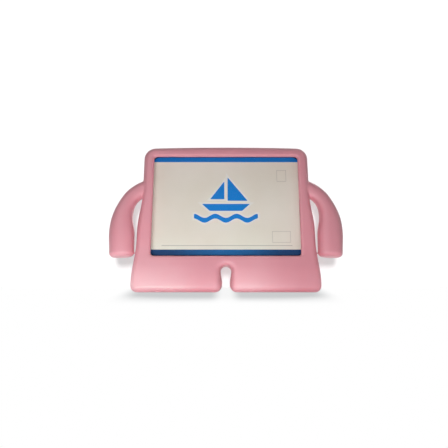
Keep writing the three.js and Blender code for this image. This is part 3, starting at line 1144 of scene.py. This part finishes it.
@dataclass(frozen=True)
class WallFinish:
    """A white wall, clear from behind, that keeps a soft grey shadow.

    Its own glow is the shadow's grey, and light of the given irradiance makes that up to white.
    """

    shadow: Colour = linear(194, 195, 195)
    irradiance: float = math.pi

    def material(self) -> bpy.types.Material:
        """Build the material.

        Returns:
            The wall's material.
        """
        made, t = new_material("pale_wall")
        lit = tuple(1.0 - value for value in self.shadow)
        paper = t.add("ShaderNodeBsdfDiffuse", {"Color": (*lit, 1.0)}).outputs[0]
        glow = t.add("ShaderNodeEmission", {"Color": (*self.shadow, 1.0), "Strength": 1.0}).outputs[0]
        front = t.add("ShaderNodeAddShader", {0: paper, 1: glow}).outputs[0]
        clear = t.add("ShaderNodeBsdfTransparent", {"Color": (1.0, 1.0, 1.0, 1.0)}).outputs[0]
        behind = t.add("ShaderNodeNewGeometry").outputs["Backfacing"]
        both = t.add("ShaderNodeMixShader", {0: behind, 1: front, 2: clear}).outputs[0]
        t.add("ShaderNodeOutputMaterial", {"Surface": both})
        return made


# --------------------------------------------------------------------------- pieces


@dataclass
class MouldedCase:
    """The case as one moulding: frame, legs and both arms."""

    sizes: CaseSizes
    stance: Stance
    voxel: float = 1.0
    smoothing_rounds: int = 10
    most_triangles: int = 192_000

    def build(self) -> bpy.types.Object:
        """Join the frame and arms, soften the join and stand the case up.

        Returns:
            The finished piece.
        """
        foam = FoamFinish().material()
        frame_mesh = FrameShell(self.sizes).build().mesh("frame_shell")
        arm_mesh = HangingArms(self.sizes).build(foam)
        piece = new_object("moulded_case", self.joined((frame_mesh, arm_mesh)))
        remesh = piece.modifiers.new("one_skin", "REMESH")
        remesh.mode = "VOXEL"
        remesh.voxel_size = self.voxel * MM
        soften = piece.modifiers.new("soften", "SMOOTH")
        soften.factor = 0.5
        soften.iterations = self.smoothing_rounds
        apply_modifiers(piece)
        thin = piece.modifiers.new("thin_out", "DECIMATE")
        triangles = sum(len(face.vertices) - 2 for face in piece.data.polygons)
        thin.ratio = min(1.0, self.most_triangles / triangles)
        mesh = apply_modifiers(piece)
        mesh.transform(self.stance.matrix())
        mesh.materials.clear()
        mesh.materials.append(foam)
        shade_smooth(mesh)
        return piece

    def joined(self, meshes: Iterable[bpy.types.Mesh]) -> bpy.types.Mesh:
        """Put several meshes into one, overlapping as they lie.

        Args:
            meshes: Closed meshes in the drawing frame.

        Returns:
            One mesh.
        """
        points: list[tuple[float, ...]] = []
        faces: list[tuple[int, ...]] = []
        for mesh in meshes:
            start = len(points)
            points.extend(tuple(v.co) for v in mesh.vertices)
            faces.extend(tuple(start + k for k in face.vertices) for face in mesh.polygons)
        whole = bpy.data.meshes.new("case_parts")
        whole.from_pydata(points, [], faces)
        whole.update()
        return whole


@dataclass
class DisplayCard:
    """The printed board that lies on the floor of the bay."""

    sizes: CaseSizes
    stance: Stance
    edge: float = 0.3
    corner_steps: int = 28
    inner_rings: tuple[float, ...] = (0.75, 0.5, 0.25)

    def outline(self, inset: float) -> np.ndarray:
        """Rounded outline of the board, drawn in by a distance.

        Args:
            inset: How far inside the board's edge.

        Returns:
            Points right and up, anticlockwise.
        """
        s = self.sizes
        half = np.array(s.bay_half) - s.card_play
        middle = -s.bay_half[1] + s.seat_gap + half[1]
        x, y = half - s.card_corner
        radius = s.card_corner - inset
        corners = ((x, y, 0), (-x, y, 90), (-x, -y, 180), (x, -y, 270))
        arcs = []
        for cx, cy, start in corners:
            angle = np.radians(np.linspace(start, start + 90, self.corner_steps + 1))
            x_round, y_round = cx + radius * np.cos(angle), cy + middle + radius * np.sin(angle)
            arcs.append(np.stack([x_round, y_round], axis=1))
        return np.vstack(arcs)

    def build(self) -> bpy.types.Object:
        """Build the board with softened edges and its print.

        Returns:
            The finished piece.
        """
        thick = self.sizes.card_thickness
        levels = ((self.edge, -thick), (0.0, -thick + self.edge), (0.0, -self.edge), (self.edge, 0.0))
        rings = []
        for inset, depth in levels:
            flat = self.outline(inset)
            rings.append(np.column_stack([flat, np.full(len(flat), depth)]))
        for share in self.inner_rings:
            rings.append(rings[3] * np.array([share, share, 1.0]))
        mesh = skin_rings(rings).mesh("printed_card")
        mesh.transform(self.stance.matrix())
        mesh.materials.append(PrintFinish(self.stance).material())
        return new_object("printed_card", mesh)


# --------------------------------------------------------------------------- studio


@dataclass(frozen=True)
class Lamp:
    """One soft rectangular lamp, aimed at a point."""

    name: str
    spot: tuple[float, float, float]
    aim: tuple[float, float, float]
    width: float
    height: float
    watts: float
    colour: Colour = (1.0, 1.0, 1.0)
    gleam_only: bool = False
    spread_deg: float = 180.0

    def build(self) -> bpy.types.Object:
        """Hang the lamp.

        Returns:
            The lamp object.
        """
        data = bpy.data.lights.new(self.name, "AREA")
        data.shape = "RECTANGLE"
        data.size, data.size_y = self.width, self.height
        data.energy = self.watts
        data.color = self.colour
        data.spread = math.radians(self.spread_deg)
        lamp = new_object(self.name, data)
        lamp.location = self.spot
        lamp.visible_camera = False
        lamp.visible_diffuse = not self.gleam_only
        look_along(lamp, Vector(self.aim) - Vector(self.spot))
        return lamp


@dataclass
class Studio:
    """Camera, floor, wall, soft lamps and pale surroundings."""

    stance: Stance
    distance: float = 0.685
    below_normal_deg: float = 14.0
    focal_px: float = 445.0
    frame_px: float = 448.0
    centre_px: Point = (225.95, 205.5)
    aim_up: float = 1.0
    sensor: float = 36.0
    floor_half: float = 6.0
    wall_y: float = 0.036
    wall_finish: WallFinish = WallFinish()
    wall_sun_elevation: float = 20.0
    wall_sun_width: float = 13.0
    world_light: float = 0.03
    lamps: tuple[Lamp, ...] = (
        Lamp("low_left", (-0.20, -0.33, 0.03), (-0.06, 0.0, 0.08), 0.15, 0.05, 0.28),
        Lamp("left_foot", (-0.115, -0.12, 0.010), (-0.115, 0.0, 0.02), 0.12, 0.02, 0.0072,
             (0.35, 1.2, 0.95), spread_deg=58.0),
        Lamp("right_foot", (0.030, -0.13, 0.012), (0.030, 0.0, 0.02), 0.05, 0.02, 0.0042,
             (0.5, 1.2, 1.0), spread_deg=64.0),
        Lamp("low_front", (0.0, -0.42, 0.02), (0.0, 0.0, 0.11), 0.30, 0.03, 0.875),
        Lamp("left_edge", (-0.50, -0.08, 0.04), (0.0, 0.0, 0.11), 0.20, 0.06, 0.065),
        Lamp("right_fill", (0.55, -0.55, 0.06), (0.0, 0.0, 0.11), 0.30, 0.10, 0.345),
        Lamp("overhead", (0.0, 0.05, 0.90), (0.0, 0.0, 0.11), 0.60, 0.40, 0.54),
        Lamp("gleam", (-0.45, -1.00, 0.75), (0.0, 0.0, 0.06), 0.50, 0.35, 2.4, gleam_only=True),
        Lamp("under_left_arm", (-0.175, -0.04, 0.005), (-0.160, 0.0, 0.05), 0.05, 0.05, 0.014,
             (0.85, 1.1, 1.05)),
        Lamp("under_right_arm", (0.175, -0.04, 0.005), (0.160, 0.0, 0.05), 0.05, 0.05, 0.008),
        Lamp("behind", (0.30, 0.90, 0.45), (0.0, 0.0, 0.11), 0.80, 0.50, 4.0),
    )

    def camera(self) -> None:
        """Set the camera where the photograph was taken from."""
        matrix = self.stance.matrix()
        tilt = math.radians(self.below_normal_deg)
        up, forward = matrix.col[1].xyz, matrix.col[2].xyz
        aim = matrix @ Vector((0.0, self.aim_up * MM, 0.0))
        back = forward * math.cos(tilt) - up * math.sin(tilt)
        data = bpy.data.cameras.new("camera")
        data.sensor_width = self.sensor
        data.lens = self.focal_px / self.frame_px * self.sensor
        data.shift_x = (self.frame_px / 2 - self.centre_px[0]) / self.frame_px
        data.shift_y = (self.centre_px[1] - self.frame_px / 2) / self.frame_px
        data.clip_start = 0.01
        data.dof.use_dof = False
        camera = new_object("camera", data)
        camera.location = aim + back * self.distance
        look_along(camera, -back)
        bpy.context.scene.camera = camera

    def plane(self, name: str, near: Point, far: Point, finish: bpy.types.Material) -> bpy.types.Object:
        """Make a plane across the whole studio.

        Args:
            name: Name of the plane.
            near: Depth and height of its first long side.
            far: Depth and height of the other.
            finish: Its material.

        Returns:
            The plane.
        """
        half = self.floor_half
        mesh = bpy.data.meshes.new(name)
        mesh.from_pydata([(-half, *near), (half, *near), (half, *far), (-half, *far)], [], [(0, 1, 2, 3)])
        mesh.materials.append(finish)
        return new_object(name, mesh)

    def floor(self) -> None:
        """Lay the floor under the soles."""
        half = self.floor_half
        floor = self.plane("floor", (-half, 0.0), (half, 0.0), FloorFinish().material())
        floor.visible_shadow = False

    def wall(self) -> bpy.types.Object:
        """Stand a wall close behind the case, which only the camera sees.

        Returns:
            The wall.
        """
        foot, top = (self.wall_y, 0.0), (self.wall_y, self.floor_half)
        wall = self.plane("wall", foot, top, self.wall_finish.material())
        wall.visible_diffuse = wall.visible_glossy = False
        wall.visible_transmission = wall.visible_shadow = False
        return wall

    def light_wall(self, wall: bpy.types.Object, lamps: Sequence[bpy.types.Object]) -> None:
        """Light the wall by a soft sun of its own, and by no other lamp.

        Args:
            wall: The wall.
            lamps: The lamps that light the case.
        """
        rise = math.radians(self.wall_sun_elevation)
        data = bpy.data.lights.new("wall_sun", "SUN")
        data.energy = self.wall_finish.irradiance / math.cos(rise)
        data.angle = math.radians(self.wall_sun_width)
        sun = new_object("wall_sun", data)
        look_along(sun, Vector((0.0, math.cos(rise), -math.sin(rise))))
        for lamp, state in ((sun, "INCLUDE"), *((other, "EXCLUDE") for other in lamps)):
            receivers = bpy.data.collections.new(f"{lamp.name}_receivers")
            receivers.objects.link(wall)
            receivers.collection_objects[0].light_linking.link_state = state
            lamp.light_linking.receiver_collection = receivers

    def world(self) -> None:
        """Give the scene pale surroundings that show as white."""
        world = bpy.data.worlds.new("surroundings")
        bpy.context.scene.world = world
        world.use_nodes = True
        world.node_tree.nodes.clear()
        t = Tree(world.node_tree)
        strength = t.blend(t.shown(), self.world_light, 1.0)
        sky = t.add("ShaderNodeBackground", {"Color": (1.0, 1.0, 1.0, 1.0), "Strength": strength})
        t.add("ShaderNodeOutputWorld", {"Surface": sky.outputs[0]})

    def build(self) -> None:
        """Set up the whole studio."""
        bpy.context.scene.view_settings.view_transform = "Standard"
        self.camera()
        self.floor()
        wall = self.wall()
        self.world()
        self.light_wall(wall, [lamp.build() for lamp in self.lamps])


def corners(bounds: Sequence[Sequence[float]]) -> list[list[float]]:
    """Turn a pair of corners into plain lists of numbers."""
    return [[float(value) for value in corner] for corner in bounds]


def centred(sizes: CaseSizes) -> Stance:
    """Find the stance that puts the middle of the case's depth over the origin.

    Args:
        sizes: Sizes of the case.

    Returns:
        The stance.
    """
    points = FrameShell(sizes).build().points
    depth = points[:, 1] * math.sin(sizes.lean) - points[:, 2] * math.cos(sizes.lean)
    return Stance(sizes, -float(depth.min() + depth.max()) / 2)


def main() -> None:
    """Build the case, its card and the studio, and report each piece."""
    logging.basicConfig(level=logging.INFO, format="%(name)s: %(message)s")
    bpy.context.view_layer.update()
    sizes = CaseSizes()
    stance = centred(sizes)

    case = MouldedCase(sizes, stance).build()
    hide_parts(Node.CASE.value)
    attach(case, ROOT_BODY)
    LOG.info("%s: %d faces", case.name, len(case.data.polygons))

    card = DisplayCard(sizes, stance).build()
    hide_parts(Node.CARD.value)
    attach(card, ROOT_BODY)
    LOG.info("%s: %d faces", card.name, len(card.data.polygons))

    Studio(stance).build()
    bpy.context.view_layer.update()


if __name__ == "__main__":
    main()
